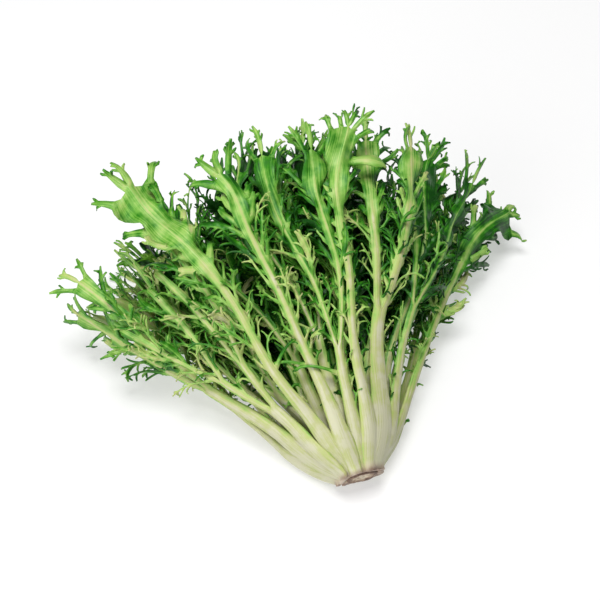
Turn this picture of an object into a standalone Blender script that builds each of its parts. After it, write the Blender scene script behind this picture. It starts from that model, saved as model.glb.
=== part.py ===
"""Curly endive (frisee) head, as picked, lying on its side.

A short cut stem carries five rings of leaves, the longest outside and the shortest in the heart. Each leaf is
its own object: a channelled stalk that widens into a lobed blade. The head has slumped into a low fan, wider
than it is tall, and the leaves underneath are pressed flat where they lie on the surface.

Metres, +Z up. The stem points along +Y and rises towards the leaves; the origin is on the surface, under the
middle of the head.
"""

import math

import bmesh
import bpy
from mathutils import Vector

MM = 0.001

# Driving dimensions of the head
STEM_RISE = math.radians(18)  # slope of the stem's axis above the surface
FAN_HALF = math.radians(41)  # how far the outer leaves swing to either side
FAN_TOP = math.radians(34)  # how high the topmost leaves rise
SAG = 2.0  # above 1, the leaves at the sides and inside hang lower than halfway
SIDE_CROWDING = 0.14  # radians that leaves move round from the head's sides towards its top and bottom
SPREAD_AT_STEM = 0.80  # share of its swing that a leaf has where it leaves the stem
SPREAD_GAIN = 0.34  # share of its swing that it gains by the tip
RISE_AT_STEM = 1.12  # share of its rise that a leaf has where it leaves the stem
DROOP = 0.42  # share of its rise that it loses by the tip
WANDER = 3.0 * MM  # how far a whole region of the head strays from a perfect fan
WANDER_LENGTH = 130 * MM  # the distance over which it strays one way and back
SPINE_STEPS = 40

# Each ring: name, number of leaves, share of the fan, radius and height on the stem, leaf length,
# half width of the stalk where it joins the stem and in its middle, and turn of the ring in leaf spacings
RINGS = (
    ("outer_leaf", 16, 1.00, 15.6 * MM, 5.0 * MM, 216 * MM, 2.35 * MM, 4.3 * MM, 0.00),
    ("second_leaf", 14, 0.80, 12.6 * MM, 9.0 * MM, 211 * MM, 2.25 * MM, 4.0 * MM, 0.50),
    ("third_leaf", 11, 0.60, 9.8 * MM, 13.0 * MM, 201 * MM, 2.15 * MM, 3.6 * MM, 0.25),
    ("inner_leaf", 8, 0.40, 7.0 * MM, 17.0 * MM, 182 * MM, 1.85 * MM, 3.1 * MM, 0.50),
    ("heart_leaf", 5, 0.20, 4.2 * MM, 21.0 * MM, 146 * MM, 1.45 * MM, 2.4 * MM, 0.25),
)
LENGTH_SWING = 0.05  # leaves of one ring differ in length by this share either way
SIDE_TRIM = 0.06  # leaves at the head's sides are shorter by this share

# A leaf's sections from stem to tip: share of its length, half width as a share of the stalk's,
# thickness as a share of STALK_THICKNESS
SECTIONS = (
    (0.00, None, 0.72),
    (0.10, 0.92, 0.85),
    (0.26, 1.00, 1.00),
    (0.42, 0.90, 0.90),
    (0.55, 0.95, 0.72),
    (0.63, 1.25, 0.60),
    (0.71, 1.45, 0.55),
    (0.79, 1.75, 0.50),
    (0.87, 1.85, 0.48),
    (0.94, 1.45, 0.45),
    (1.00, 0.55, 0.42),
)
LOBED_SECTIONS = (4, 6, 8)  # lobes grow from the blade's edges between these sections and the next
LOBE_REACH = 0.050  # how far a lobe reaches out, as a share of its distance along the leaf
LOBE_SLANT = 0.7  # how far forward a lobe leans, as a share of its reach
STALK_THICKNESS = 2.7 * MM
CHANNEL_DEPTH = 0.30  # depth of the stalk's channel, as a share of its half width

# The stem, turned about its axis: radius and height of each point, from the growing tip down to the cut
STEM_PROFILE = (
    (0.0, 22.4 * MM),
    (2.6 * MM, 20.6 * MM),
    (5.4 * MM, 16.8 * MM),
    (8.2 * MM, 12.8 * MM),
    (11.0 * MM, 8.8 * MM),
    (14.1 * MM, 4.2 * MM),
    (15.3 * MM, 2.4 * MM),
    (14.9 * MM, 0.9 * MM),
    (13.6 * MM, 0.0),
    (0.0, 0.0),
)
STEM_SIDES = 28
STEM_REST = 0.15 * MM  # the stem's rim is trimmed this much by the surface that it rests on
CUTTER_SIZE = 600 * MM

LEAF_GREEN = (0.13, 0.33, 0.05, 1.0)
INNER_GREEN = (0.28, 0.48, 0.10, 1.0)
HEART_YELLOW = (0.55, 0.66, 0.22, 1.0)
STEM_CREAM = (0.62, 0.55, 0.38, 1.0)

SIDEWAYS = Vector((1, 0, 0))
STEM_AXIS = Vector((0, math.cos(STEM_RISE), math.sin(STEM_RISE)))
STEM_TOPSIDE = Vector((0, -math.sin(STEM_RISE), math.cos(STEM_RISE)))
STEM_WIDEST, WIDEST_HEIGHT = max(STEM_PROFILE)
CUT_HEIGHT = STEM_WIDEST * math.cos(STEM_RISE) - WIDEST_HEIGHT * math.sin(STEM_RISE) - STEM_REST


def clear_scene():
    for found in list(bpy.data.objects):
        bpy.data.objects.remove(found)


def plant_material(name, colour, roughness):
    material = bpy.data.materials.new(name)
    material.use_nodes = True
    shader = material.node_tree.nodes["Principled BSDF"]
    shader.inputs["Base Color"].default_value = colour
    shader.inputs["Roughness"].default_value = roughness
    return material


def link(name, mesh, material, home):
    made = bpy.data.objects.new(name, mesh)
    mesh.materials.append(material)
    home.objects.link(made)
    return made


def stray(place):
    """How far the head strays from a perfect fan at a place: a slow wave, none at the stem or the surface."""
    wave = 2 * math.pi / WANDER_LENGTH
    reach = min(1.0, place.y / WANDER_LENGTH)
    off_floor = min(1.0, place.z / (40 * MM))
    return WANDER * reach * Vector((
        math.sin(wave * place.y + 0.7 * wave * place.z + 0.6),
        0.6 * math.sin(wave * place.x + 1.9),
        0.8 * off_floor * math.sin(wave * place.x + 0.5 * wave * place.y + 3.1),
    ))


class Leaf:
    """One leaf's course through the head: where it leaves the stem, and its spine and broad direction."""

    def __init__(self, ring, number):
        name, count, share, stem_radius, stem_height, length, root, stalk, turn = ring
        self.name = f"{name}_{number + 1:02d}"
        self.root_half_width = root
        self.stalk_half_width = stalk
        swing = math.sin(2.4 * number + 5.0 * share)
        around = 2 * math.pi * (number + turn) / count - math.pi / 2
        side, top = math.cos(around), math.sin(around)
        self.length = length * (1 + LENGTH_SWING * swing - SIDE_TRIM * abs(side))
        self.around = around + SIDE_CROWDING * math.sin(2 * around)
        self.share = share
        outward = SIDEWAYS * side + STEM_TOPSIDE * top
        cut = Vector((0, 0, CUT_HEIGHT))
        self.root = cut + STEM_AXIS * stem_height + outward * stem_radius
        self.root_across = STEM_TOPSIDE * side - SIDEWAYS * top
        self.walk()

    def heading(self, around, along):
        """The direction that a leaf at this angle in the ring points in, at a share of its length."""
        swing = FAN_HALF * self.share * math.cos(around) * (SPREAD_AT_STEM + SPREAD_GAIN * along)
        height = (1 + self.share * math.sin(around)) / 2
        rise = FAN_TOP * height**SAG * (RISE_AT_STEM - DROOP * along**2)
        return Vector((
            math.sin(swing) * math.cos(rise),
            math.cos(swing) * math.cos(rise),
            math.sin(rise),
        ))

    def walk(self):
        """Steps along the heading from the root, so that the leaf bends smoothly, and then lets the head stray."""
        place = self.root.copy()
        self.spine = [place + stray(place)]
        for step in range(SPINE_STEPS):
            along = (step + 0.5) / SPINE_STEPS
            place = place + self.heading(self.around, along) * (self.length / SPINE_STEPS)
            self.spine.append(place + stray(place))

    def point(self, along):
        """The spine's point at a share of the leaf's length."""
        at = min(max(along, 0.0), 1.0) * SPINE_STEPS
        step = min(int(at), SPINE_STEPS - 1)
        return self.spine[step].lerp(self.spine[step + 1], at - step)

    def frame(self, along):
        """(forward, across, outward) at a share of the leaf's length. Across follows the ring of leaves."""
        reach = 0.5 / SPINE_STEPS
        forward = (self.point(along + reach) - self.point(along - reach)).normalized()
        nudge = 0.02
        ring_line = self.heading(self.around + nudge, along) - self.heading(self.around - nudge, along)
        settle = min(1.0, along / 0.3)
        across = self.root_across.lerp(ring_line.normalized(), settle)
        across = (across - forward * across.dot(forward)).normalized()
        return forward, across, forward.cross(across)


def grow(bm, row, places):
    """Extrudes a row of vertices to new places and returns the new row."""
    edges = [bm.edges.get(pair) for pair in zip(row, row[1:])]
    made = bmesh.ops.extrude_edge_only(bm, edges=edges)["geom"]
    fresh = {item for item in made if isinstance(item, bmesh.types.BMVert)}
    new_row = []
    for old in row:
        new_row.append(next(e.other_vert(old) for e in old.link_edges if e.other_vert(old) in fresh))
    for vertex, place in zip(new_row, places):
        vertex.co = place
    return new_row


def section_places(leaf, along, half_width):
    """Left edge, keel and right edge of the leaf's channel-shaped section."""
    forward, across, outward = leaf.frame(along)
    centre = leaf.point(along)
    lip = centre - outward * (half_width * CHANNEL_DEPTH)
    return lip - across * half_width, centre, lip + across * half_width


def lobe_places(leaf, edge_vertices, along, side):
    """Where the far end of a lobe's two edges goes: out to the side, leaning forward and narrowed."""
    forward, across, outward = leaf.frame(along)
    reach = LOBE_REACH * along * leaf.length
    middle = (edge_vertices[0].co + edge_vertices[1].co) / 2
    tip = middle + across * (side * reach) + forward * (reach * LOBE_SLANT) - outward * (0.3 * reach)
    half_tip = (edge_vertices[1].co - edge_vertices[0].co) * 0.22
    return tip - half_tip, tip + half_tip


def leaf_mesh(leaf):
    """The leaf as one sheet, grown from the stem by extruding its edge, with a weight for its thickness."""
    bm = bmesh.new()
    thickness = bm.verts.layers.deform.verify()
    rows = []
    for along, width, weight in SECTIONS:
        half_width = leaf.root_half_width if width is None else leaf.stalk_half_width * width
        places = section_places(leaf, along, half_width)
        if rows:
            row = grow(bm, rows[-1], places)
        else:
            row = [bm.verts.new(place) for place in places]
            for pair in zip(row, row[1:]):
                bm.edges.new(pair)
        for vertex in row:
            vertex[thickness][0] = weight
        rows.append(row)
    for section in LOBED_SECTIONS:
        along = (SECTIONS[section][0] + SECTIONS[section + 1][0]) / 2
        for side, edge in ((-1, 0), (1, 2)):
            root = [rows[section][edge], rows[section + 1][edge]]
            tip = grow(bm, root, lobe_places(leaf, root, along, side))
            for vertex in tip:
                vertex[thickness][0] = SECTIONS[-1][2]
    bmesh.ops.recalc_face_normals(bm, faces=bm.faces)
    mesh = bpy.data.meshes.new(leaf.name)
    bm.to_mesh(mesh)
    bm.free()
    return mesh


def build_leaf(leaf, material, home, surface):
    made = link(leaf.name, leaf_mesh(leaf), material, home)
    made.vertex_groups.new(name="thickness")
    wall = made.modifiers.new("wall", "SOLIDIFY")
    wall.thickness = STALK_THICKNESS
    wall.offset = 0
    wall.vertex_group = "thickness"
    press_flat(made, surface)
    return made


def press_flat(obj, surface):
    """Cuts the underside flat where the piece would reach through the surface that the head lies on."""
    bpy.context.view_layer.update()
    evaluated = obj.evaluated_get(bpy.context.evaluated_depsgraph_get())
    lowest = min((obj.matrix_world @ vertex.co).z for vertex in evaluated.data.vertices)
    if lowest < 0:
        cut = obj.modifiers.new("resting_face", "BOOLEAN")
        cut.operation = "DIFFERENCE"
        cut.object = surface


def build_surface(home):
    """The cutter whose top is the surface that the head lies on."""
    bpy.ops.mesh.primitive_cube_add(size=CUTTER_SIZE, location=(0, 0, -CUTTER_SIZE / 2))
    surface = bpy.context.object
    surface.name = "surface_cutter"
    for collection in list(surface.users_collection):
        collection.objects.unlink(surface)
    home.objects.link(surface)
    surface.hide_render = True
    surface.display_type = "WIRE"
    return surface


def build_stem(material, home, surface):
    """The cut stem: half its outline turned about its axis, then tipped so that its rim meets the surface."""
    bm = bmesh.new()
    outline = [bm.verts.new((radius, 0, height)) for radius, height in STEM_PROFILE]
    for pair in zip(outline, outline[1:]):
        bm.edges.new(pair)
    mesh = bpy.data.meshes.new("stem_butt")
    bm.to_mesh(mesh)
    bm.free()
    stem = link("stem_butt", mesh, material, home)
    stem.location = (0, 0, CUT_HEIGHT)
    stem.rotation_euler = (STEM_RISE - math.pi / 2, 0, 0)
    turned = stem.modifiers.new("turned", "SCREW")
    turned.steps = turned.render_steps = STEM_SIDES
    turned.use_merge_vertices = True
    turned.merge_threshold = 0.01 * MM
    press_flat(stem, surface)
    return stem


def centre_head(parts):
    """Parents the head to an empty and moves it, so that the origin is under the middle of its outline."""
    bpy.context.view_layer.update()
    graph = bpy.context.evaluated_depsgraph_get()
    places = []
    for part in parts:
        places += [part.matrix_world @ vertex.co for vertex in part.evaluated_get(graph).data.vertices]
    head = bpy.data.objects.new("head", None)
    bpy.context.scene.collection.objects.link(head)
    for part in parts:
        part.parent = head
    for axis in (0, 1):
        values = [place[axis] for place in places]
        head.location[axis] = -(min(values) + max(values)) / 2


def main():
    clear_scene()
    head = bpy.data.collections.new("curly_endive_head")
    helpers = bpy.data.collections.new("cutters")
    bpy.context.scene.collection.children.link(head)
    bpy.context.scene.collection.children.link(helpers)
    surface = build_surface(helpers)
    greens = {
        "outer_leaf": plant_material("leaf_green", LEAF_GREEN, 0.42),
        "inner_leaf": plant_material("inner_leaf_green", INNER_GREEN, 0.42),
        "heart_leaf": plant_material("heart_leaf_yellow", HEART_YELLOW, 0.42),
    }
    greens["second_leaf"] = greens["outer_leaf"]
    greens["third_leaf"] = greens["inner_leaf"]
    parts = [build_stem(plant_material("stem_cream", STEM_CREAM, 0.6), head, surface)]
    for ring in RINGS:
        for number in range(ring[1]):
            parts.append(build_leaf(Leaf(ring, number), greens[ring[0]], head, surface))
    centre_head(parts)


main()
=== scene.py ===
"""Curly endive head: its looks.

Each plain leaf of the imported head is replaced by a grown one, on the same course from the stem to the
tip: a ribbed stalk that turns from white to green, a blade with a pale midrib, and side shoots that
branch, curl and end in teeth or fingers. The plain stem is replaced by a cut one with a browned face.
"""

import math
import random

import bmesh
import bpy
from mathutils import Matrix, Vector, noise


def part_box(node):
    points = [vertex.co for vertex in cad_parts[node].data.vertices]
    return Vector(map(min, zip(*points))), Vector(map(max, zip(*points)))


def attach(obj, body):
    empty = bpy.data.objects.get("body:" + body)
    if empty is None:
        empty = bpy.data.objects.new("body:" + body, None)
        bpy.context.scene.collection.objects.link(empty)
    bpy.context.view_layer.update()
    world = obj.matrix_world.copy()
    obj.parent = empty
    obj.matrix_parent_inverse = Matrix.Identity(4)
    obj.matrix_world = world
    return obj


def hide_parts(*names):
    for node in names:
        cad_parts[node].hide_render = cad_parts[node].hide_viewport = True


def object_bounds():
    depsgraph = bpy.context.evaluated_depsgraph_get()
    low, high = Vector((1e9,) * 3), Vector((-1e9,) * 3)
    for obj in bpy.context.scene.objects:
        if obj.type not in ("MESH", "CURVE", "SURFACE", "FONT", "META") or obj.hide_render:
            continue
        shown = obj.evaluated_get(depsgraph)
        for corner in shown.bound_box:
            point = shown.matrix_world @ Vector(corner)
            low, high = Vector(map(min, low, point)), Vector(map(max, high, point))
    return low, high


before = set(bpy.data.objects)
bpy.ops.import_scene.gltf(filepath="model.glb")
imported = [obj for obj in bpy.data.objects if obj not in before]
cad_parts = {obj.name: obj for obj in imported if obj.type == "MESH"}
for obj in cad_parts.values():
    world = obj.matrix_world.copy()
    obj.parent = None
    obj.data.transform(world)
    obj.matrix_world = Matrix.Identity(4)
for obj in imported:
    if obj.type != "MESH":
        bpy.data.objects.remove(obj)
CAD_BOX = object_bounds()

MM = 0.001

# The head's shape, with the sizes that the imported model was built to
STEM_RISE = math.radians(18)  # slope of the stem's axis above the surface
FAN_HALF = math.radians(41)  # how far the outer leaves swing to either side
FAN_TOP = math.radians(34)  # how high the topmost leaves rise
SAG = 2.0  # above 1, the leaves at the sides and inside hang lower than halfway
SIDE_CROWDING = 0.14  # radians that leaves move round from the head's sides towards its top and bottom
SPREAD_AT_STEM = 0.80  # share of its swing that a leaf has where it leaves the stem
SPREAD_GAIN = 0.34  # share of its swing that it gains by the tip
RISE_AT_STEM = 1.12  # share of its rise that a leaf has where it leaves the stem
DROOP = 0.42  # share of its rise that it loses by the tip
WANDER = 3.0 * MM  # how far a whole region of the head strays from a perfect fan
WANDER_LENGTH = 130 * MM  # the distance over which it strays one way and back
WANDER_CLEAR = 40 * MM  # height above the surface from which it strays up and down in full
SPINE_STEPS = 40
CUT_RADIUS = 13.6 * MM  # the stem's flat cut face
STEM_RADIUS = 15.3 * MM  # the stem's widest place, which rests on the surface
STEM_RADIUS_HEIGHT = 2.4 * MM
STEM_REST = 0.15 * MM

# Each ring: name, number of leaves, share of the fan, radius and height on the stem, leaf length,
# half width of the stalk, turn of the ring in leaf spacings, and how green its leaves are
RINGS = (
    ("outer_leaf", 16, 1.00, 15.6 * MM, 5.0 * MM, 216 * MM, 4.5 * MM, 0.00, 1.00),
    ("second_leaf", 14, 0.80, 12.6 * MM, 9.0 * MM, 211 * MM, 4.2 * MM, 0.50, 1.00),
    ("third_leaf", 11, 0.60, 9.8 * MM, 13.0 * MM, 201 * MM, 3.8 * MM, 0.25, 1.00),
    ("inner_leaf", 8, 0.40, 7.0 * MM, 17.0 * MM, 182 * MM, 3.2 * MM, 0.50, 0.98),
    ("heart_leaf", 5, 0.20, 4.2 * MM, 21.0 * MM, 146 * MM, 2.5 * MM, 0.25, 0.85),
)
FULL_LENGTH = 216 * MM  # the leaf that the sizes of blades and shoots are given for
LENGTH_SWING = 0.05  # leaves of one ring differ in length by this share either way
LEAF_TURN, RING_TURN = 2.4, 5.0  # radians of that swing from leaf to leaf, and over the whole fan
SIDE_TRIM = 0.06  # leaves at the head's sides are shorter by this share

# Growth
ROW_VERTICES = 13  # across a stalk. Each arm of a fork takes half of them and shares the middle one
STALK_STRIDE = 3.4 * MM  # distance between two rows of a stalk's vertices
THICKEST = 3.6 * MM  # thickness where a vertex has the full weight
THINNEST = 0.55 * MM  # thickness of a blade's edge
LATEST_FORK = 0.75  # share of the length by which a leaf has forked for the last time
FLOOR_GAP = 0.25 * MM
FLOOR_SOFTNESS = 1.2 * MM  # height over which a shoot that reaches the surface levels out
ROOT_SHARE = -0.02  # a leaf starts this share of its length before its place on the stem
WAIST = 0.30  # at the cut, the stalks are drawn in towards the stem's axis by this share
WAIST_SHARE = 0.13  # and by this share of their length they are out again
OVERLAP = 0.9 * MM  # every other stalk of a ring lies this much outside its neighbours, the rest inside
OVERLAP_SHARE = 0.5  # by this share of their length they are back in their ring
RIDGE = 0.20 * MM  # height of the ribs that run along a stalk
BLADE_START = 0.68  # share of the length from which a blade is wide and bears fingers or lobes
FINGERS_FROM = 0.8  # a rib that ends short of this share has none at its end
SHORTEST_TOOTH = 2.2 * MM

# Studio
CAMERA_AZIMUTH, CAMERA_ELEVATION = math.radians(-17), math.radians(52)
CAMERA_DISTANCE = 1.015
CAMERA_LENS = 100
CAMERA_ASIDE = -3.8 * MM  # how far the camera aims to the right of the head's middle
CAMERA_DOWN = 12.7 * MM  # and below it
WORLD_GLOW = 0.08
FLOOR_GLOW = 0.47
FLOOR_HALF = 20  # half the floor's side, in metres, so that its edge is close to the horizon
# Each light: name, power in watts, side in metres and place
LIGHTS = (
    ("key", 19.5, 0.7, (0.0, 0.0, 1.45)),
    ("fill", 17.5, 1.3, (-1.3, -0.7, 0.7)),
)

SIDEWAYS = Vector((1, 0, 0))
UP = Vector((0, 0, 1))
STEM_AXIS = Vector((0, math.cos(STEM_RISE), math.sin(STEM_RISE)))
STEM_TOPSIDE = Vector((0, -math.sin(STEM_RISE), math.cos(STEM_RISE)))
CUT_HEIGHT = STEM_RADIUS * math.cos(STEM_RISE) - STEM_RADIUS_HEIGHT * math.sin(STEM_RISE) - STEM_REST


def mix(low, high, share):
    return low + (high - low) * share


def ease(share):
    """A smooth step from 0 to 1."""
    share = min(max(share, 0.0), 1.0)
    return share * share * (3 - 2 * share)


def along_points(points, share):
    """The value at a share of the way along (share, value) points, eased from each to the next."""
    for (start, low), (end, high) in zip(points, points[1:]):
        if share <= end:
            return mix(low, high, ease((share - start) / (end - start)))
    return points[-1][1]


# ---------------------------------------- where leaves go


def stem_centre():
    """The middle of the stem's cut face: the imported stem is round, so its box gives the place."""
    low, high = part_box("stem_butt")
    return Vector(((low[0] + high[0]) / 2, low[1] + CUT_RADIUS * math.sin(STEM_RISE), CUT_HEIGHT))


def stray(place):
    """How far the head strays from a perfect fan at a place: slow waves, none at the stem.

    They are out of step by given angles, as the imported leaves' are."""
    wave = 2 * math.pi / WANDER_LENGTH
    reach = min(1.0, place.y / WANDER_LENGTH)
    off_floor = min(1.0, place.z / WANDER_CLEAR)
    return WANDER * reach * Vector((
        math.sin(wave * place.y + 0.7 * wave * place.z + 0.6),
        0.6 * math.sin(wave * place.x + 1.9),
        0.8 * off_floor * math.sin(wave * place.x + 0.5 * wave * place.y + 3.1),
    ))


class Course:
    """One leaf's way through the head, the same as its packed leaf's."""

    def __init__(self, ring, number, shift):
        name, count, share, stem_radius, stem_height, length, stalk, turn, green = ring
        self.name = f"{name}_{number + 1:02d}"
        self.ring = name
        self.stalk = stalk
        self.green = green
        swing = math.sin(LEAF_TURN * number + RING_TURN * share)
        around = 2 * math.pi * (number + turn) / count - math.pi / 2
        side, top = math.cos(around), math.sin(around)
        self.side = side
        self.length = length * (1 + LENGTH_SWING * swing - SIDE_TRIM * abs(side))
        self.stem_radius = stem_radius
        self.layer = OVERLAP * (1 if number % 2 else -1)
        self.around = around + SIDE_CROWDING * math.sin(2 * around)
        self.share = share
        self.shift = shift
        self.ring_line = SIDEWAYS * side + STEM_TOPSIDE * top
        self.root = Vector((0, 0, CUT_HEIGHT)) + STEM_AXIS * stem_height + self.ring_line * stem_radius
        self.root_across = STEM_TOPSIDE * side - SIDEWAYS * top
        self.walk()

    def heading(self, around, along):
        """Which way a leaf at an angle around the head points, at a share of its length."""
        swing = FAN_HALF * self.share * math.cos(around) * (SPREAD_AT_STEM + SPREAD_GAIN * along)
        height = (1 + self.share * math.sin(around)) / 2
        rise = FAN_TOP * height**SAG * (RISE_AT_STEM - DROOP * along**2)
        return Vector((
            math.sin(swing) * math.cos(rise),
            math.cos(swing) * math.cos(rise),
            math.sin(rise),
        ))

    def walk(self):
        """Follows the heading from the root, step by step."""
        place = self.root.copy()
        self.spine = [place + stray(place) + self.shift]
        for step in range(SPINE_STEPS):
            along = (step + 0.5) / SPINE_STEPS
            place = place + self.heading(self.around, along) * (self.length / SPINE_STEPS)
            self.spine.append(place + stray(place) + self.shift)

    def point(self, along):
        """The spine's point at a share of the length, drawn in near the cut and layered."""
        drawn_in = WAIST * self.stem_radius * (1 - ease((along - ROOT_SHARE) / WAIST_SHARE))
        layered = self.layer * (1 - ease(along / OVERLAP_SHARE))
        aside = self.ring_line * (layered - drawn_in)
        if along < 0:
            return self.spine[0] + STEM_AXIS * (along * self.length) + aside
        if along > 1:
            last_step = self.spine[-1] - self.spine[-2]
            return self.spine[-1] + last_step * (SPINE_STEPS * (along - 1)) + aside
        at = along * SPINE_STEPS
        step = min(int(at), SPINE_STEPS - 1)
        return self.spine[step].lerp(self.spine[step + 1], at - step) + aside

    def axes(self, along):
        """(forward, outward) at a share of the length: outward is away from the head's middle.

        A leaf lies square to the stem at its root, and to its ring's line from `settled` on."""
        reach, nudge, settled = 0.5 / SPINE_STEPS, 0.02, 0.3
        forward = (self.point(along + reach) - self.point(along - reach)).normalized()
        ring_line = self.heading(self.around + nudge, along) - self.heading(self.around - nudge, along)
        across = self.root_across.lerp(ring_line.normalized(), min(1.0, along / settled))
        across = (across - forward * across.dot(forward)).normalized()
        return forward, forward.cross(across)


# ---------------------------------------- growing a leaf


def turned(axes, curl=0.0, turn=0.0, twist=0.0):
    """(forward, outward) after a bend towards outward, one in the blade's plane, and a twist."""
    forward, outward = axes
    across = outward.cross(forward)
    if curl:
        forward, outward = (
            forward * math.cos(curl) + outward * math.sin(curl),
            outward * math.cos(curl) - forward * math.sin(curl),
        )
    if turn:
        forward, across = (
            forward * math.cos(turn) + across * math.sin(turn),
            across * math.cos(turn) - forward * math.sin(turn),
        )
    if twist:
        outward = outward * math.cos(twist) + across * math.sin(twist)
    return forward.normalized(), outward.normalized()


class Sheet:
    """A leaf in the making: an open sheet that grows at its edges.

    Its vertices hold what its thickness and its material need."""

    def __init__(self, tone):
        self.bm = bmesh.new()
        self.thick = self.bm.verts.layers.deform.verify()
        self.tint = self.bm.verts.layers.float.new("tint")
        self.cut = self.bm.verts.layers.float.new("cut")
        self.flow = self.bm.verts.layers.float_vector.new("flow")
        self.tone = tone

    def start(self, count):
        """The leaf's first row, which its stalk grows from."""
        row = [self.bm.verts.new((0, 0, 0)) for _ in range(count)]
        for pair in zip(row, row[1:]):
            self.bm.edges.new(pair)
        return row

    def extrude(self, rows):
        """Extrudes every row by one step at once and returns the new rows."""
        edges = [self.bm.edges.get(pair) for row in rows for pair in zip(row, row[1:])]
        made = bmesh.ops.extrude_edge_only(self.bm, edges=edges)["geom"]
        fresh = {item for item in made if isinstance(item, bmesh.types.BMVert)}
        return [[self.partner(old, fresh) for old in row] for row in rows]

    @staticmethod
    def partner(old, fresh):
        """The fresh vertex that was extruded from an old one."""
        for edge in old.link_edges:
            if edge.other_vert(old) in fresh:
                return edge.other_vert(old)
        raise ValueError("a row wasn't extruded")

    def put(self, vertex, place, thickness, tint, cut, across, along):
        """Places a vertex above the floor, with its thickness and its place in the leaf's pattern."""
        floor = FLOOR_GAP + thickness / 2
        above = (place.z - floor) / FLOOR_SOFTNESS
        unaffected = 4
        if above < unaffected:
            place = Vector((place.x, place.y, floor + FLOOR_SOFTNESS * math.log1p(math.exp(above))))
        vertex.co = place
        vertex[self.thick][0] = thickness / THICKEST
        vertex[self.tint] = tint
        vertex[self.cut] = cut
        vertex[self.flow] = Vector((across, along, self.tone))


class Strip:
    """A ribbon of leaf: its rows of vertices, and the (forward, outward) axes at each."""

    def side_row(self, number, span, side):
        """A stretch of the edge, in the order that a shoot's row runs."""
        rows = self.rows[number:number + span + 1]
        return [row[0] for row in rows] if side < 0 else [row[-1] for row in reversed(rows)]


class Rib(Strip):
    """A stalk, or an arm that it forks into: a ribbed middle with blade at both sides."""

    def __init__(self, sheet, leaf, row, reach, trunk=None, side=0):
        """reach is its (first, last) share of the leaf's length. An arm has a trunk and a side, -1 or 1.

        By its tip an arm spreads and rises from its trunk's line, and it is a share as stout."""
        self.leaf = leaf
        self.first, self.last = reach
        self.trunk = trunk
        self.side = side
        self.spread = leaf.rng.uniform(0.05, 0.12) * leaf.course.length * (1.15 - self.first)
        self.rise = leaf.rng.uniform(-0.06, 0.06) * leaf.course.length
        self.stout = leaf.rng.uniform(0.58, 0.76)
        self.steps = max(2, round(leaf.course.length * (self.last - self.first) / STALK_STRIDE))
        self.rows = [row]
        self.axes = [self.axes_at(self.first)]
        if trunk is None:
            self.place_row(sheet, row, self.first)
        for step in range(1, self.steps + 1):
            row = sheet.extrude([self.rows[-1]])[0]
            share = self.share_at(step)
            self.rows.append(row)
            self.axes.append(self.axes_at(share))
            self.place_row(sheet, row, share)

    def share_at(self, number):
        return mix(self.first, self.last, number / self.steps)

    def along_at(self, number):
        return self.leaf.course.length * self.share_at(number)

    def carries(self, share, side):
        """Whether a shoot at a share of the length, on the leaf's given side, belongs to this rib."""
        return self.first < share < self.last and self.side in (0, side)

    def gone(self, share):
        """How far an arm is on its own way at a share of the leaf's length, from 0 to 1."""
        return (share - self.first) / (1 - self.first)

    def scale(self, share):
        """Its size as a share of the unforked leaf's. An arm starts at half its trunk's."""
        if self.trunk is None:
            return 1.0
        swollen = 0.15
        return self.trunk.scale(self.first) * mix(0.5, self.stout, ease(self.gone(share) / swollen))

    def centre(self, share):
        """The middle of its row at a share of the leaf's length."""
        if self.trunk is None:
            return self.leaf.centre(share)
        forward, outward = self.leaf.course.axes(share)
        gone = self.gone(share)
        root = self.trunk.scale(self.first) * self.leaf.rib(self.first) / 2
        aside = self.side * (root + self.spread * gone * (2 - gone))
        return self.trunk.centre(share) + outward.cross(forward) * aside + outward * (self.rise * gone)

    def axes_at(self, share):
        """(forward, outward) of its row: along its own way and rolled, an arm turned from the other."""
        reach = 0.012
        low, high = max(share - reach, self.first), share + reach
        forward = (self.centre(high) - self.centre(low)).normalized()
        outward = self.leaf.course.axes(share)[1]
        outward = (outward - forward * outward.dot(forward)).normalized()
        apart = 0.5 * self.side * self.gone(share)
        return turned((forward, outward), twist=self.leaf.roll(share) + apart)

    def place_row(self, sheet, row, share):
        """Lays a row across the rib: its inner share is the domed, ridged stalk, and the rest is blade.

        Near the tip the middle runs ahead, which rounds the end."""
        leaf = self.leaf
        forward, outward = self.axes[-1]
        across = outward.cross(forward)
        centre = self.centre(share)
        scale = self.scale(share)
        rib, wing = leaf.rib(share) * scale, leaf.wing(share) * math.sqrt(scale)
        dome = mix(0.30, 0.15, ease(share)) * rib
        ridge = RIDGE * min(1.0, rib / (4 * MM))
        inner = mix(0.88, 0.38, ease((share - 0.40) / 0.3))
        rounded = 0.7 * ease((share - leaf.reach) / 0.12 + 1)
        for number, vertex in enumerate(row):
            side = 2 * number / (len(row) - 1) - 1
            within = min(1.0, abs(side) / inner)
            beyond = max(0.0, abs(side) - inner) / (1 - inner)
            wave = leaf.ruffle(share, side)
            notched = 1 + 0.5 * leaf.ruffle(0.7 * share, -side)
            aside = math.copysign(rib * within + wing * beyond * notched, side)
            out = dome * (1 - within**2) + (number % 2) * ridge
            out += wing * beyond * (wave - 0.15)
            ahead = rounded * (rib + wing) * (1 - side * side)
            place = centre + across * aside + outward * out + forward * ahead
            thickness = max(leaf.thickness(share) * scale * (1 - 0.62 * side * side), THINNEST)
            sheet.put(vertex, place, thickness, leaf.green(share, abs(side)), leaf.browned(share), aside,
                      leaf.course.length * share)


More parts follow.
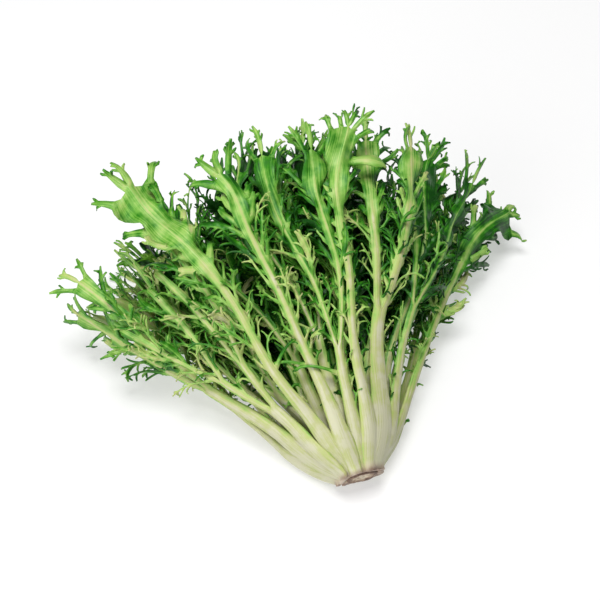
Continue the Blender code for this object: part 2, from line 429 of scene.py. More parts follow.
class Shoot(Strip):
    """A side shoot: a strip that grows step by step from its parent's edge, on axes of its own."""

    def __init__(self, sheet, row, axes, along, habit):
        self.rows = [row]
        self.axes = [axes]
        self.habit = habit
        self.steps = max(2, round(habit["length"] / habit["stride"]))
        self.place = sum((vertex.co for vertex in row), Vector()) / len(row)
        self.base_width = (row[0].co - row[-1].co).length
        self.base_tint = sum(vertex[sheet.tint] for vertex in row) / len(row)
        self.base_thickness = sum(vertex[sheet.thick][0] for vertex in row) / len(row) * THICKEST
        self.start = along

    @classmethod
    def from_side(cls, sheet, parent, number, span, side, habit):
        """A shoot from a stretch of its parent's edge, span rows long."""
        forward, outward = parent.axes[number + span // 2]
        across = outward.cross(forward)
        heading = across * (side * math.sin(habit["lean"])) + forward * math.cos(habit["lean"])
        axes = turned((heading, outward), curl=habit["lift"])
        return cls(sheet, parent.side_row(number, span, side), axes, parent.along_at(number), habit)

    @classmethod
    def from_end(cls, sheet, parent, first, last, lean, habit):
        """A shoot from part of its parent's last row."""
        axes = turned(parent.axes[-1], turn=lean, curl=habit["lift"])
        row = parent.rows[-1][first:last + 1]
        return cls(sheet, row, axes, parent.along_at(len(parent.rows) - 1), habit)

    def along_at(self, number):
        return self.start + number * self.habit["stride"]

    def growing(self):
        return len(self.rows) <= self.steps

    def grow(self, sheet, row):
        """Moves the freshly extruded row to its place.

        Bends gather towards the tip, so a shoot coils up like a hook. Its vein is paler than its edges."""
        habit = self.habit
        share = len(self.rows) / self.steps
        late = 2 * share / self.steps
        axes = turned(
            self.axes[-1],
            curl=habit["curl"] * late,
            turn=habit["turn"] * late,
            twist=habit["twist"] / self.steps,
        )
        forward = (axes[0] - UP * (habit["weight"] / self.steps)).normalized()
        outward = (axes[1] - forward * axes[1].dot(forward)).normalized()
        across = outward.cross(forward)
        self.place = self.place + forward * habit["stride"]
        half = self.width(share) / 2
        settle = ease(share / 0.25)
        thickness = mix(self.base_thickness, mix(habit["thick"][0], habit["thick"][1], share), settle)
        tint = mix(self.base_tint, habit["tip"], max(settle * habit["settles"], ease(share)))
        last = len(row) - 1
        for number, vertex in enumerate(row):
            aside = 2 * number / last - 1
            middle = 1 - abs(aside)
            place = self.place + across * (half * aside)
            vein = 0.25 * middle * (1 - share)
            sheet.put(vertex, place, thickness * (1 + 0.5 * middle), tint - vein, 0.0,
                      half * aside, self.along_at(len(self.rows)))
        self.rows.append(row)
        self.axes.append((forward, outward))

    def width(self, share):
        """From its parent's edge through the habit's three widths."""
        widths = self.habit["widths"]
        points = ((0, self.base_width), (0.2, widths[0]), (0.7, widths[1]), (1, widths[2]))
        return along_points(points, share)


def grow_together(sheet, shoots):
    """Grows all shoots, one step at a time. No two of them may share a vertex."""
    growing = [shoot for shoot in shoots if shoot.growing()]
    while growing:
        for shoot, row in zip(growing, sheet.extrude([shoot.rows[-1] for shoot in growing])):
            shoot.grow(sheet, row)
        growing = [shoot for shoot in growing if shoot.growing()]


# ---------------------------------------- kinds of shoot

# Kinds of shoot. Stride, widths (near the base, in the outer part, at the tip) and thick (at base and tip)
# are in mm. Lean, away from the parent, is drawn between two angles in radians, and lift, curl, turn and
# twist up to one, either way. Weight is how much it sags, teeth the kind of tooth that it bears, and
# settles how soon it takes its own tint.
HABIT_FIELDS = (
    "stride", "widths", "lean", "lift", "curl", "turn", "twist", "weight", "thick", "teeth", "settles",
)
HABITS = {
    "lobe": (2.4, (4.6, 4.0, 1.6), (0.2, 0.75), 0.3, 0.9, 0.5, 0.6, 0.1, (0.8, 0.5), "blunt_tooth", 0.5),
    "finger": (2.4, (2.7, 3.0, 1.2), (0.25, 0.6), 0.25, 0.9, 0.5, 0.6, 0.15, (0.8, 0.5), "tooth", 0.5),
    "strap": (2.4, (2.4, 4.2, 1.6), (0.15, 0.6), 0.5, 1.4, 0.8, 1.8, 0.2, (0.9, 0.55), "tooth", 0.95),
    "leaflet": (2.4, (3.4, 6.4, 2.2), (0.2, 0.7), 0.6, 1.2, 0.8, 1.4, 0.2, (0.9, 0.55), "tooth", 0.8),
    "feather": (2.3, (1.5, 2.3, 1.1), (0.2, 0.7), 0.7, 1.7, 1.0, 2.6, 0.3, (0.8, 0.5), "tooth", 0.8),
    "thread": (2.4, (1.1, 1.0, 0.7), (0.1, 0.7), 0.4, 1.5, 1.4, 1.5, 0.2, (0.9, 0.7), "spur", 0.8),
    "wire": (2.4, (1.2, 0.9, 0.7), (0.1, 0.6), 0.4, 1.4, 1.3, 1.5, 0.2, (0.9, 0.7), "spur", 0.2),
    "tendril": (2.4, (1.9, 1.6, 0.9), (0.8, 1.1), 0.5, 1.4, 0.8, 0.5, 0.1, (1.2, 0.8), "spur", 1.0),
    "flap": (2.4, (5.0, 7.5, 1.6), (1.2, 1.4), 0.4, 0.8, 0.3, 0.5, 0.1, (0.9, 0.5), None, 1.0),
    "blunt_tooth": (2.0, (1.8, 2.0, 1.0), (0.3, 0.8), 0.5, 1.2, 0.6, 1.0, 0.1, (0.6, 0.5), None, 0.5),
    "tooth": (1.9, (1.2, 1.3, 0.8), (0.3, 0.9), 0.6, 1.5, 0.8, 1.2, 0.1, (0.55, 0.5), None, 0.5),
    "spur": (1.9, (0.8, 0.8, 0.6), (0.3, 0.9), 0.6, 1.5, 1.0, 0.5, 0.1, (0.6, 0.55), None, 0.5),
}
# Set rather than drawn: a tendril and a flap lift off their stalk and arch back over it
SET_TENDRIL = dict(lift=0.5, curl=-1.4, tip=0.8)
SET_FLAP = dict(lift=0.4, curl=-0.8, tip=0.58)
# Where a shoot's teeth begin, as a share of its length, and how long they may be, in mm
TEETH_START = {"thread": 0.4, "wire": 0.45, "finger": 0.45, "lobe": 0.6, "tendril": 0.8}
OTHER_TEETH_START = 0.2
TEETH_REACH = {"finger": 6, "lobe": 4, "wire": 6}
OTHER_TEETH_REACH = 9
# Fingers at the end of a rib with so many vertices across: first and last vertex, and lean in radians
END_FINGERS = {
    13: ((0, 1, -0.65), (2, 3, -0.4), (4, 5, -0.15), (7, 8, 0.15), (9, 10, 0.4), (11, 12, 0.65)),
    7: ((0, 1, -0.5), (2, 4, 0.0), (5, 6, 0.5)),
    4: ((0, 1, -0.25), (2, 3, 0.25)),
}
END_FINGER = 17  # their length in mm
END_LOBES = ((0, 2, -0.65), (3, 5, -0.25), (7, 9, 0.25), (10, 12, 0.65))  # the same for a palmate blade


def habit_of(kind, rng, length, tip):
    """One shoot's habit, drawn around its kind's."""
    model = dict(zip(HABIT_FIELDS, HABITS[kind]))
    bends = ("lift", "curl", "turn", "twist")
    either_way = {name: rng.uniform(-model[name], model[name]) for name in bends}
    return dict(
        model,
        **either_way,
        kind=kind,
        length=length * rng.uniform(0.7, 1.25),
        stride=model["stride"] * MM,
        widths=[width * MM * rng.uniform(0.85, 1.2) for width in model["widths"]],
        thick=[thickness * MM for thickness in model["thick"]],
        lean=rng.uniform(*model["lean"]),
        tip=tip,
    )


# Leaves whose place in the head shows, and what is set for each rather than drawn: the blades that stand
# out along its rim, the stout stalk that forks in two, and the few tendrils and the flap that cross the
# others. Leaf says what each name means.
# A tone set here scales a leaf's green. The tones below 1 at the left and lower left are painted light,
# which makes those leaves paler, and the tones above 1 at the right and top right are painted shade.
CHOSEN = {
    "outer_leaf_04": dict(
        kind="forked", forks=(0.45,), breadth=1.1, bulk=1.3, reach=1.0, arch=6 * MM, bow=4 * MM, clean=0.0,
        tone=0.8,
    ),
    "outer_leaf_05": dict(
        kind="broad", palmate=True, lobe=13, breadth=1.15, bulk=1.2, reach=0.95, rolls=(0.0, 1.1),
        arch=14 * MM, bow=2 * MM, hook=-20 * MM, swing_out=-0.015, clean=0.1, tone=1.1,
    ),
    "outer_leaf_06": dict(
        kind="forked", forks=(0.5,), bulk=1.1, reach=1.02, swing_out=-0.02, lean=0.04, clean=0.05, tone=1.1,
    ),
    "outer_leaf_07": dict(
        kind="forked", forks=(0.42,), breadth=1.0, bulk=1.75, reach=0.91, lean=0.04, pale=0.0, tone=0.95,
    ),
    "outer_leaf_08": dict(
        kind="broad", breadth=1.0, bulk=0.95, reach=0.93, rolls=(0.1, 0.0), lean=0.02, tone=1.1,
        extras=((0.79, -1, 27, "flap"),),
    ),
    "outer_leaf_09": dict(
        kind="forked", forks=(0.34,), breadth=1.1, reach=0.90, rolls=(0.1, 0.2),
        extras=((0.2, 1, 38, "tendril"),),
    ),
    "outer_leaf_10": dict(
        kind="broad", palmate=True, breadth=1.0, bulk=0.95, reach=0.84, rolls=(0.0, -0.1), hook=24 * MM,
        extras=((0.27, 1, 34, "tendril"),),
    ),
    "outer_leaf_11": dict(
        kind="broad", palmate=True, breadth=1.1, reach=1.03, rolls=(-0.1, -0.2), hook=8 * MM,
        swing_out=0.05, tone=0.8, extras=((0.31, -1, 30, "tendril"),),
    ),
    "outer_leaf_12": dict(kind="twice", breadth=1.0, bulk=1.3, reach=0.78, tone=0.85),
    "outer_leaf_13": dict(
        kind="forked", forks=(0.45,), breadth=0.8, bulk=1.6, reach=0.9, rolls=(-0.2, -0.7), bow=2 * MM,
        hook=-2 * MM, clean=0.3, tone=0.8, extras=((0.78, 1, 30, "tendril"),),
    ),
    # The low tones of these lower-left leaves are painted light: they make the stalks pale where bright
    # light falls on them.
    "outer_leaf_14": dict(
        kind="forked", forks=(0.4,), bulk=1.7, rolls=(-0.8, -0.3), arch=0.0, bow=8 * MM, hook=0.0,
        swing_out=-0.01, tone=0.55,
    ),
    "outer_leaf_15": dict(
        kind="forked", forks=(0.45,), bulk=1.6, rolls=(-1.2, -0.4), bow=10 * MM, hook=-10 * MM,
        swing_out=-0.02, clean=0.3, tone=0.5,
    ),
    "outer_leaf_16": dict(kind="twice", bulk=1.3, rolls=(-1.3, -0.4), bow=6 * MM, tone=0.6),
    "second_leaf_04": dict(kind="broad", reach=1.0, swing_out=0.05, lean=0.05),
    "second_leaf_05": dict(kind="broad", reach=0.95, lean=-0.05, swing_out=0.04),
    "second_leaf_06": dict(kind="broad", reach=0.98, lean=-0.05),
    "second_leaf_07": dict(kind="broad", reach=0.93),
    "second_leaf_08": dict(reach=0.84),
    "second_leaf_10": dict(reach=0.80),
    # Their low tones are painted light as well, at the head's left and lower left.
    "second_leaf_11": dict(bulk=1.3, reach=0.86, bow=5 * MM, tone=0.7),
    "second_leaf_12": dict(bulk=1.4, rolls=(-0.8, -0.3), bow=9 * MM, tone=0.6),
    "third_leaf_06": dict(reach=0.89),
}


class Leaf:
    """What is particular to one leaf, set or drawn. Shares are of its length, from the stem to the tip."""

    # How far the blade reaches beyond the midrib, in mm, by share of the length
    WINGS = {
        "broad": ((0, 0.4), (0.50, 0.6), (0.68, 1.8), (0.80, 4.8), (0.90, 8.8), (1, 12.5)),
        "forked": ((0, 0.4), (0.48, 0.6), (0.64, 1.8), (0.78, 4.6), (0.90, 7.2), (1, 7.5)),
        "twice": ((0, 0.4), (0.46, 0.6), (0.62, 1.6), (0.76, 3.8), (0.90, 5.4), (1, 5.6)),
    }

    def __init__(self, course, kind, rng, chosen):
        """chosen holds what is set for this leaf rather than drawn.

        It forks at each share in forks, bears only thin shoots up to bare, and ends at reach. depth is how
        much greener its edges are than its middle."""
        self.course = course
        self.kind = kind
        self.rng = rng
        self.forks = {
            "broad": (),
            "forked": (rng.uniform(0.24, 0.42),),
            "twice": (rng.uniform(0.15, 0.28), rng.uniform(0.36, 0.54)),
        }[kind]
        self.bulk = rng.uniform(0.8, 1.25)  # how stout its stalk is
        self.rolls = (rng.uniform(-0.35, 0.35), rng.uniform(-0.9, 0.9))  # about its course, at stem and tip
        self.phases = (rng.uniform(0, 2 * math.pi), rng.uniform(0, 2 * math.pi))  # of its waves
        self.waves = rng.uniform(0.7, 1.3)  # how many times it sways
        self.arch = rng.uniform(-14, 8) * MM  # how far its tip arches outwards
        self.hook = rng.uniform(-1, 1) ** 3 * 26 * MM  # how far its tip hooks aside
        self.breadth = rng.uniform(0.75, 1.15)  # how wide its blade is
        # The inner rings' leaves get the deeper green edges as painted shade, for the dark gaps deep inside
        # the head.
        self.depth = rng.uniform(0.2, 0.46) if course.ring == "outer_leaf" else rng.uniform(0.4, 0.6)
        self.showing = course.ring in ("outer_leaf", "second_leaf")
        self.bare = rng.uniform(0.40, 0.54) if self.showing else rng.uniform(0.32, 0.44)
        self.ruffle_length = rng.uniform(20, 38) * MM
        self.size = course.length / FULL_LENGTH
        self.reach = rng.uniform(0.84, 0.95) + (0.0 if course.ring == "outer_leaf" else 0.02)
        self.dried = rng.uniform(0.012, 0.045)  # share that has browned above the cut
        self.pale = rng.uniform(0.0, 0.12)  # tint of its stalk at the stem
        self.swing_out = 0.0  # how far it leaves its course outwards, as a share
        self.lean = 0.0  # and how far sideways
        self.bow = 0.0  # how far its lower half bows outwards
        self.extras = ()  # shoots that are set: (share, side, length in mm, kind)
        self.clean = 0.2 if course.ring == "outer_leaf" else 0.0  # how much of its stalk has no shoots
        self.palmate = False  # whether its blade ends in lobes, like a hand
        self.lobe = 19  # length of those at its end, in mm
        self.early = 0.0 if self.showing else rng.uniform(0.08, 0.25)  # how much sooner its blade widens
        # Tone is drawn per leaf. The 0.24 * side added to it is painted light and shade: it makes the
        # leaves at the head's right darker and those at its left paler, as the light falls.
        self.tone = rng.uniform(0.78, 1.06) + 0.24 * course.side  # how green it is: more so at the right
        for name, value in chosen.items():
            setattr(self, name, value)

    def centre(self, share):
        """Its middle line: its course, swayed, hooked and leant sideways, and arched, swung and bowed."""
        forward, outward = self.course.axes(share)
        across = outward.cross(forward)
        side = self.sway(share, self.phases[0]) + self.hook * ease((share - 0.7) / 0.3) ** 2
        side += self.lean * self.course.length * share
        bowed = self.bow * ease(share / 0.2) * (1 - ease((share - 0.3) / 0.4))
        out = 0.6 * self.sway(share, self.phases[1]) + self.arch * ease((share - 0.6) / 0.4) ** 2
        out += self.swing_out * self.course.length * share + bowed
        return self.course.point(share) + across * side + outward * out

    def sway(self, share, phase):
        """A slow wave to either side, none at the stem."""
        return 3.0 * MM * ease(share / 0.4) * math.sin(2 * math.pi * self.waves * share + phase)

    def roll(self, share):
        return mix(self.rolls[0], self.rolls[1], share)

    def rib(self, share):
        """Half width of the stalk, or of the midrib within the blade."""
        foot = ((ROOT_SHARE, 0.78), (0.06, 1.25), (0.13, 1.0))
        midrib = ((0.22, 0.66), (0.40, 0.46), (0.7, 0.28), (1, 0.1))
        return self.course.stalk * self.bulk * along_points(foot + midrib, share)

    def wing(self, share):
        """How far the blade reaches beyond the midrib."""
        return self.breadth * self.size * MM * along_points(self.WINGS[self.kind], share + self.early)

    def thickness(self, share):
        """Thickness in its middle: fleshy at the stem, thin at the tip."""
        thick = ((0, 2.8), (0.2, 3.0), (0.38, 2.3), (0.6, 1.4), (0.8, 0.95), (1, 0.75))
        return along_points(thick, share) * MM * self.bulk

    def green(self, share, aside):
        """Tint at a share of the length: pale in the middle, greener towards the blade's edge and the tip.

        aside is 0 in the middle and 1 at the edge. Along the stalk only its outer part is greener: near the
        stem that is partly the stalk's own edge and partly painted shade, where the stalks overlap."""
        middle = self.pale + 0.41 * ease((share - 0.12) / 0.8)
        # The inner rings' stalks turn green sooner than the outer ones: painted shade, since they lie deep
        # in the head.
        if not self.showing:
            middle = 0.10 + 0.65 * ease((share - 0.06) / 0.42)
        # Near the stem the greener edge is partly painted shade, for the dusky bands where neighbouring
        # stalks overlap.
        edge_green_and_shade = mix(ease((aside - 0.6) / 0.4), ease(aside * 1.25), ease(share / 0.4))
        edge = mix(0.30, self.depth, ease(share / 0.55)) * edge_green_and_shade
        return min(1.0, (middle + edge) * self.course.green * self.tone)

    def tip_tint(self):
        """Tint of a shoot's tip. Most are dark, and some pale: partly each shoot's own green, and partly
        painted light, dark for the shade within the frills and pale for highlights along their edges. The
        inner rings' shoots, deep in the head, are nearly all dark, as painted shade.
        """
        if not self.showing:
            return self.rng.uniform(0.5, 0.65) if self.rng.random() < 0.1 else self.rng.uniform(0.9, 1.0)
        if self.rng.random() < 0.2:
            return self.rng.uniform(0.34, 0.52) * self.tone
        return min(1.0, self.rng.uniform(0.8, 1.0) * self.tone)

    def browned(self, share):
        """1 at the cut, and 0 from where it hasn't dried."""
        return 1 - ease((share - ROOT_SHARE) / self.dried)

    def ruffle(self, share, side):
        """A wave that runs along the blade's edge, out of step between its two sides."""
        turn = 2 * math.pi * self.course.length * share / self.ruffle_length
        return 0.6 * math.sin(turn + self.phases[0] + math.copysign(self.phases[1], side))


def grow_rib(sheet, leaf, row, first, forks, trunk=None, side=0):
    """Grows a rib from a row up to its fork, and then its two arms. Returns them all."""
    rng = leaf.rng
    last = forks[0] if forks else leaf.reach
    rib = Rib(sheet, leaf, row, (first, last), trunk, side)
    grown = [rib]
    if forks:
        middle = len(row) // 2
        for half, arm_side in ((slice(0, middle + 1), -1), (slice(middle, None), 1)):
            further = tuple(min(fork + rng.uniform(-0.08, 0.08), LATEST_FORK) for fork in forks[1:])
            grown += grow_rib(sheet, leaf, rib.rows[-1][half], last, further, rib, arm_side)
    return grown


def rib_shoots(sheet, rib):
    """The shoots along a rib's two edges: thin ones near the stem, and wide ones farther out.

    A shoot that is set takes the place of the next one due. The gaps between shoots are drawn, in rows."""
    leaf = rib.leaf
    rng = leaf.rng
    shoots = []
    for side in (-1, 1):
        lowest = rng.uniform(0.09, 0.22) + leaf.clean * (0.25 + leaf.course.side**2)
        number = max(1, math.ceil((lowest - rib.first) / (rib.last - rib.first) * rib.steps))
        extras = [extra for extra in leaf.extras if extra[1] == side and rib.carries(extra[0], side)]
        while number < rib.steps - 3:
            share = rib.share_at(number)
            kind, length, span = rib_shoot_kind(leaf, share)
            if extras and share > extras[0][0]:
                _, _, length, kind = extras.pop(0)
                span = 2 if kind == "flap" else 1
            # Wires are pale: partly their own pale green, and partly a painted highlight, the bright line
            # along thin frills.
            tip = rng.uniform(0.3, 0.55) if kind == "wire" else leaf.tip_tint()
            habit = habit_of(kind, rng, length * MM * leaf.size, tip)
            if kind == "tendril":
                habit.update(SET_TENDRIL, turn=0.8 * side)
            elif kind == "flap":
                habit.update(SET_FLAP, turn=0.3 * side, twist=-0.5 * side)
            elif leaf.showing and share > leaf.bare:
                habit["lift"] -= 0.3
            shoots.append(Shoot.from_side(sheet, rib, number, span, side, habit))
            gaps = (1, 1, 2, 3) if leaf.showing else (1, 1, 2)
            number += span + rng.choice((1, 2, 3) if share < leaf.bare else gaps)
    return shoots


def rib_shoot_kind(leaf, share):
    """(kind, length in mm, span in rows) of a shoot at a share of the leaf's length."""
    rng = leaf.rng
    if leaf.palmate and share > BLADE_START:
        return "lobe", rng.uniform(10, 20), 2
    if leaf.showing and share > BLADE_START and leaf.kind != "twice":
        return "finger", rng.uniform(8, 24), 1
    if share < leaf.bare:
        length = mix(9, 26, ease((share - 0.2) / 0.3)) * rng.uniform(0.5, 1.2)
        return rng.choice(("wire", "thread", "thread", "feather")), length, 1
    kinds = ("leaflet", "leaflet", "feather", "feather")
    if leaf.showing:
        kinds = ("wire", "strap", "strap", "feather", "feather")
    return rng.choice(kinds), along_points(((0.35, 15), (0.62, 29), (1, 16)), share), 1


def end_shoots(sheet, rib):
    """Fingers or lobes at a rib's end, with gaps between them."""
    rng = rib.leaf.rng
    kind, length, ends = "finger", END_FINGER, END_FINGERS[len(rib.rows[-1])]
    if rib.leaf.palmate:
        kind, length, ends = "lobe", rib.leaf.lobe, END_LOBES
    shoots = []
    for first, last, lean in ends:
        # Their tips are paler than the frills: partly the leaf's own paler tips, and partly painted light
        # on the head's rim.
        habit = habit_of(kind, rng, length * MM, rng.uniform(0.5, 0.85))
        shoots.append(Shoot.from_end(sheet, rib, first, last, lean, habit))
    return shoots


def teeth(sheet, parent, rng):
    """Small shoots along both edges of a shoot."""
    habit = parent.habit
    kind = habit["kind"]
    if not habit["teeth"]:
        return []
    shoots = []
    for side in (-1, 1):
        first = round(parent.steps * TEETH_START.get(kind, OTHER_TEETH_START))
        number = max(2, first) + rng.choice((0, 1))
        while number < parent.steps - 1:
            share = number / parent.steps
            longest = TEETH_REACH.get(kind, OTHER_TEETH_REACH) * MM
            reach = min(habit["length"] * 0.45 * (1.15 - share), longest)
            if reach > SHORTEST_TOOTH:
                tooth = habit_of(habit["teeth"], rng, reach, min(1.0, habit["tip"] + 0.05))
                shoots.append(Shoot.from_side(sheet, parent, number, 1, side, tooth))
            number += rng.choice((2, 3, 4))
    return shoots


def grown_leaf(leaf):
    """The leaf's mesh: its stalk, which may fork, then its side shoots, then theirs."""
    rng = leaf.rng
    sheet = Sheet(rng.random())
    ribs = grow_rib(sheet, leaf, sheet.start(ROW_VERTICES), ROOT_SHARE, leaf.forks)
    firsts = []
    for rib in ribs:
        firsts += rib_shoots(sheet, rib)
        if rib.last > FINGERS_FROM:
            firsts += end_shoots(sheet, rib)
    grow_together(sheet, firsts)
    seconds = [tooth for shoot in firsts for tooth in teeth(sheet, shoot, rng)]
    grow_together(sheet, seconds)
    bmesh.ops.recalc_face_normals(sheet.bm, faces=sheet.bm.faces)
    for face in sheet.bm.faces:
        face.smooth = True
    mesh = bpy.data.meshes.new(f"grown_{leaf.course.name}")
    sheet.bm.to_mesh(mesh)
    sheet.bm.free()
    return mesh


# ---------------------------------------- materials


def colour(hex_value):
    """An sRGB hex colour as linear RGBA."""
    channels = [int(hex_value[start:start + 2], 16) / 255 for start in (1, 3, 5)]
    linear = [c / 12.92 if c <= 0.04045 else ((c + 0.055) / 1.055) ** 2.4 for c in channels]
    return (*linear, 1.0)


def node(tree, kind, links=None, stops=(), **settings):
    """Adds a node. Each link feeds a socket or sets its value. Stops are a colour ramp's."""
    made = tree.nodes.new(kind)
    for name, value in settings.items():
        setattr(made, name, value)
    for socket, source in (links or {}).items():
        if isinstance(source, bpy.types.NodeSocket):
            tree.links.new(source, made.inputs[socket])
        else:
            made.inputs[socket].default_value = source
    if stops:
        elements = made.color_ramp.elements
        while len(elements) < len(stops):
            elements.new(0.5)
        for element, (position, value) in zip(elements, stops):
            element.position = position
            element.color = colour(value)
    return made


def new_material(name):
    material = bpy.data.materials.new(name)
    material.use_nodes = True
    return material, material.node_tree, material.node_tree.nodes["Principled BSDF"]


def leaf_material(name, stops):
    """Living endive leaf, grown: a waxy skin over wet tissue, white where no light reached it.

    It gives the eye a soft, uneven shine, fine streaks and ribs along the strands, and lighter and darker
    patches. Where it was cut, it has dried to brown. Its stops run from the stalk's foot to the frills."""
    strand, strand_length, patch = 0.9 * MM, 30 * MM, 9 * MM
    leaf_to_leaf = 40  # how far a leaf's tone shifts the streaks, so that no two leaves match
    material, tree, shader = new_material(name)
    tint, cut, flow = (
        node(tree, "ShaderNodeAttribute", attribute_name=layer).outputs[output]
        for layer, output in (("tint", "Fac"), ("cut", "Fac"), ("flow", "Vector"))
    )
    place = node(tree, "ShaderNodeTexCoord").outputs["Object"]
    strands = node(tree, "ShaderNodeMapping", {
        "Vector": flow, "Scale": (1 / strand, 1 / strand_length, leaf_to_leaf),
    }).outputs["Vector"]
    streak, mottle = (
        node(tree, "ShaderNodeTexNoise", {"Vector": vector, "Scale": scale, "Detail": 3.0}).outputs["Fac"]
        for vector, scale in ((strands, 1.0), (place, 1 / patch))
    )
    streaked, mottled, rough = (
        node(tree, "ShaderNodeMath", {0: source, 1: gain, 2: offset}, operation="MULTIPLY_ADD").outputs[0]
        for source, gain, offset in ((streak, 0.75, -0.375), (mottle, 0.8, -0.4), (mottle, 0.2, 0.35))
    )
    once = node(tree, "ShaderNodeMath", {0: tint, 1: streaked}, operation="ADD").outputs[0]
    twice = node(tree, "ShaderNodeMath", {0: once, 1: mottled}, operation="ADD").outputs[0]
    skin = node(tree, "ShaderNodeValToRGB", {"Fac": twice}, stops).outputs["Color"]
    browns = ((0.35, "#8A7060"), (0.5, "#B09A86"), (0.65, "#CBBBA6"))
    dried = node(tree, "ShaderNodeValToRGB", {"Fac": mottle}, browns).outputs["Color"]
    both = node(tree, "ShaderNodeMix", {0: cut, 6: skin, 7: dried}, data_type="RGBA").outputs[2]
    bump = node(tree, "ShaderNodeBump", {"Height": streak, "Strength": 0.6, "Distance": 0.6 * MM})
    tree.links.new(both, shader.inputs["Base Color"])
    tree.links.new(rough, shader.inputs["Roughness"])
    tree.links.new(bump.outputs["Normal"], shader.inputs["Normal"])
    shader.inputs["IOR"].default_value = 1.4
    shader.inputs["Specular IOR Level"].default_value = 0.45
    shader.inputs["Subsurface Weight"].default_value = 0.10
    shader.inputs["Subsurface Radius"].default_value = (0.8, 1.0, 0.3)
    shader.inputs["Subsurface Scale"].default_value = 1.5 * MM
    return material


def stem_material():
    """Endive stem, cut with a knife: pale, wet pith, rough, that has dried brown from the rim inwards."""
    grain_size, roughest = 2.2 * MM, 0.8 * MM
    material, tree, shader = new_material("cut_stem_flesh")
    place = node(tree, "ShaderNodeTexCoord").outputs["Object"]
    rim = node(tree, "ShaderNodeAttribute", attribute_name="rim").outputs["Fac"]
    grain = node(tree, "ShaderNodeTexNoise", {
        "Vector": place, "Scale": 1 / grain_size, "Detail": 4.0,
    }).outputs["Fac"]
    browned = node(tree, "ShaderNodeMath", {0: rim, 1: 0.45, 2: grain}, operation="MULTIPLY_ADD").outputs[0]
    browns = ((0.35, "#D8CDB6"), (0.5, "#C2B096"), (0.68, "#A0866E"), (0.9, "#6E5444"))
    flesh = node(tree, "ShaderNodeValToRGB", {"Fac": browned}, browns).outputs["Color"]
    bump = node(tree, "ShaderNodeBump", {"Height": grain, "Strength": 0.8, "Distance": roughest})
    tree.links.new(flesh, shader.inputs["Base Color"])
    tree.links.new(bump.outputs["Normal"], shader.inputs["Normal"])
    shader.inputs["Roughness"].default_value = 0.65
    return material


def floor_material():
    """Pale matt card that gives off some light of its own, so it is white all over, with soft shadows."""
    material, _, shader = new_material("white_card")
    shader.inputs["Base Color"].default_value = colour("#BCBCBC")
    shader.inputs["Roughness"].default_value = 0.9
    shader.inputs["Emission Color"].default_value = (1, 1, 1, 1)
    shader.inputs["Emission Strength"].default_value = FLOOR_GLOW
    return material


# ---------------------------------------- pieces


def add_piece(name, mesh, material):
    piece = bpy.data.objects.new(name, mesh)
    mesh.materials.append(material)
    bpy.context.scene.collection.objects.link(piece)
    return piece


def build_leaf(leaf, material):
    """A grown leaf in place of its packed one, with a wall as thick at each vertex as its weight says."""
    course = leaf.course
    piece = add_piece(f"grown_{course.name}", grown_leaf(leaf), material)
    piece.vertex_groups.new(name="thickness")
    wall = piece.modifiers.new("wall", "SOLIDIFY")
    wall.thickness = THICKEST
    wall.offset = 0
    wall.vertex_group = "thickness"
    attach(piece, "root")
    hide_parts(course.name)


def build_stem(shift, material):
    """The cut stem: a rounded plug that the stalks grow from, with an uneven face."""
    bm = bmesh.new()
    rim = bm.verts.layers.float.new("rim")
    # (radius, height) in mm, from the middle of the cut face over its rim and up between the stalks
    profile = (
        (0.0, 0.9), (2.5, 0.8), (5.0, 0.6), (7.0, 0.2), (8.4, 0.0), (9.2, 0.5), (9.5, 2.5), (9.0, 6.0),
        (7.0, 12.0), (4.0, 17.0), (0.0, 21.0),
    )
    browned_from, browned_by = 5.0, 9.0  # radii in mm
    lumps, lump_size = 0.7 * MM, 3.5 * MM
    outline = [bm.verts.new((radius * MM, 0, height * MM)) for radius, height in profile]
    edges = [bm.edges.new(pair) for pair in zip(outline, outline[1:])]
    bmesh.ops.spin(
        bm, geom=outline + edges, cent=(0, 0, 0), axis=(0, 0, 1), angle=2 * math.pi, steps=48,
        use_merge=True,
    )
    bmesh.ops.remove_doubles(bm, verts=bm.verts, dist=0.01 * MM)
    for vertex in bm.verts:
        aside, back, height = vertex.co
        radius = math.hypot(aside, back) / MM
        vertex[rim] = ease((radius - browned_from) / (browned_by - browned_from))
        height += lumps * noise.noise(vertex.co / lump_size)
        vertex.co = shift + STEM_AXIS * height + SIDEWAYS * aside + STEM_TOPSIDE * back
    bmesh.ops.recalc_face_normals(bm, faces=bm.faces)
    for face in bm.faces:
        face.smooth = True
    mesh = bpy.data.meshes.new("cut_stem")
    bm.to_mesh(mesh)
    bm.free()
    piece = add_piece("cut_stem", mesh, material)
    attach(piece, "root")
    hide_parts("stem_butt")


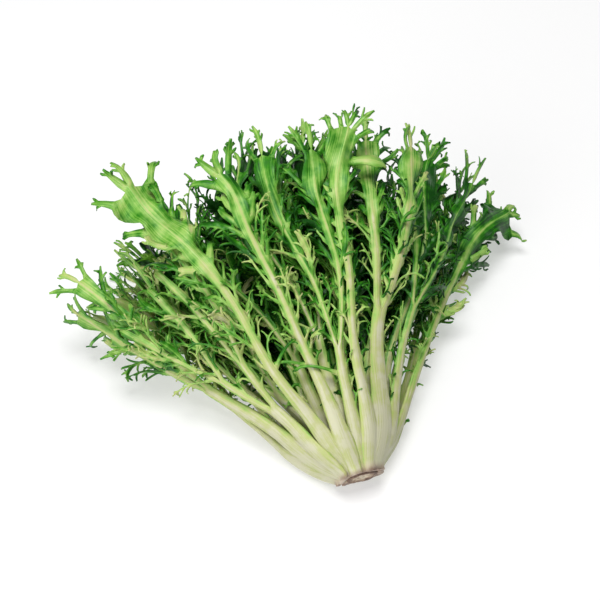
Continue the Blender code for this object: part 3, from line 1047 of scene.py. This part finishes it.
def build_head():
    """The stem and every leaf. Each leaf has random draws of its own, seeded by its ring and number."""
    centre = stem_centre()
    shift = Vector((centre.x, centre.y, 0))
    greens = (
        (0.0, "#C6C5A6"), (0.16, "#BABD88"), (0.32, "#B0BC70"), (0.48, "#98BD60"), (0.64, "#6EA63E"),
        (0.80, "#307C10"), (1.0, "#084602"),
    )
    inner = (
        (0.0, "#D3D3B7"), (0.2, "#C4CC94"), (0.4, "#A0C064"), (0.6, "#66A428"), (0.8, "#2C760E"),
        (1.0, "#073F02"),
    )
    heart = ((0.0, "#E0DFC6"), (0.35, "#D5DAA6"), (0.65, "#BCCD74"), (1.0, "#86B040"))
    materials = {
        "outer_leaf": (leaf_material("endive_leaf_skin_green", greens), "leaf_green"),
        "third_leaf": (leaf_material("endive_leaf_skin_pale", inner), "inner_leaf_green"),
        "heart_leaf": (leaf_material("endive_leaf_skin_yellow", heart), "heart_leaf_yellow"),
    }
    materials["second_leaf"] = materials["outer_leaf"]
    materials["inner_leaf"] = materials["third_leaf"]
    build_stem(centre, stem_material())
    for ring_number, ring in enumerate(RINGS):
        material, slot = materials[ring[0]]
        for number in range(ring[1]):
            rng = random.Random(100 * ring_number + number)
            course = Course(ring, number, shift)
            chosen = CHOSEN.get(course.name, {})
            kind = chosen.get("kind", rng.choice(("broad", "forked", "forked", "twice", "twice")))
            build_leaf(Leaf(course, kind, rng, chosen), material)


# ---------------------------------------- studio


def build_floor():
    bm = bmesh.new()
    bmesh.ops.create_grid(bm, x_segments=1, y_segments=1, size=FLOOR_HALF)
    mesh = bpy.data.meshes.new("floor")
    bm.to_mesh(mesh)
    bm.free()
    floor = add_piece("floor", mesh, floor_material())


def build_camera():
    sine, cosine, level = math.sin(CAMERA_AZIMUTH), math.cos(CAMERA_AZIMUTH), math.cos(CAMERA_ELEVATION)
    right = Vector((cosine, sine, 0))
    back = Vector((sine * level, -cosine * level, math.sin(CAMERA_ELEVATION)))
    low, high = CAD_BOX
    target = (Vector(low) + Vector(high)) / 2 + right * CAMERA_ASIDE + right.cross(back) * CAMERA_DOWN
    data = bpy.data.cameras.new("camera")
    data.lens = CAMERA_LENS
    camera = bpy.data.objects.new("camera", data)
    camera.location = target + back * CAMERA_DISTANCE
    camera.rotation_euler = back.to_track_quat("Z", "Y").to_euler()
    bpy.context.scene.collection.objects.link(camera)
    bpy.context.scene.camera = camera


def build_lights():
    world = bpy.data.worlds.new("studio")
    bpy.context.scene.world = world
    world.use_nodes = True
    background = world.node_tree.nodes["Background"]
    background.inputs["Color"].default_value = (1, 1, 1, 1)
    background.inputs["Strength"].default_value = WORLD_GLOW
    for name, power, size, place in LIGHTS:
        data = bpy.data.lights.new(name, "AREA")
        data.energy = power
        data.size = size
        light = bpy.data.objects.new(name, data)
        light.location = place
        light.rotation_euler = Vector(place).to_track_quat("Z", "Y").to_euler()
        bpy.context.scene.collection.objects.link(light)
    bpy.context.scene.view_settings.view_transform = "Standard"


build_camera()
build_lights()
build_floor()
build_head()
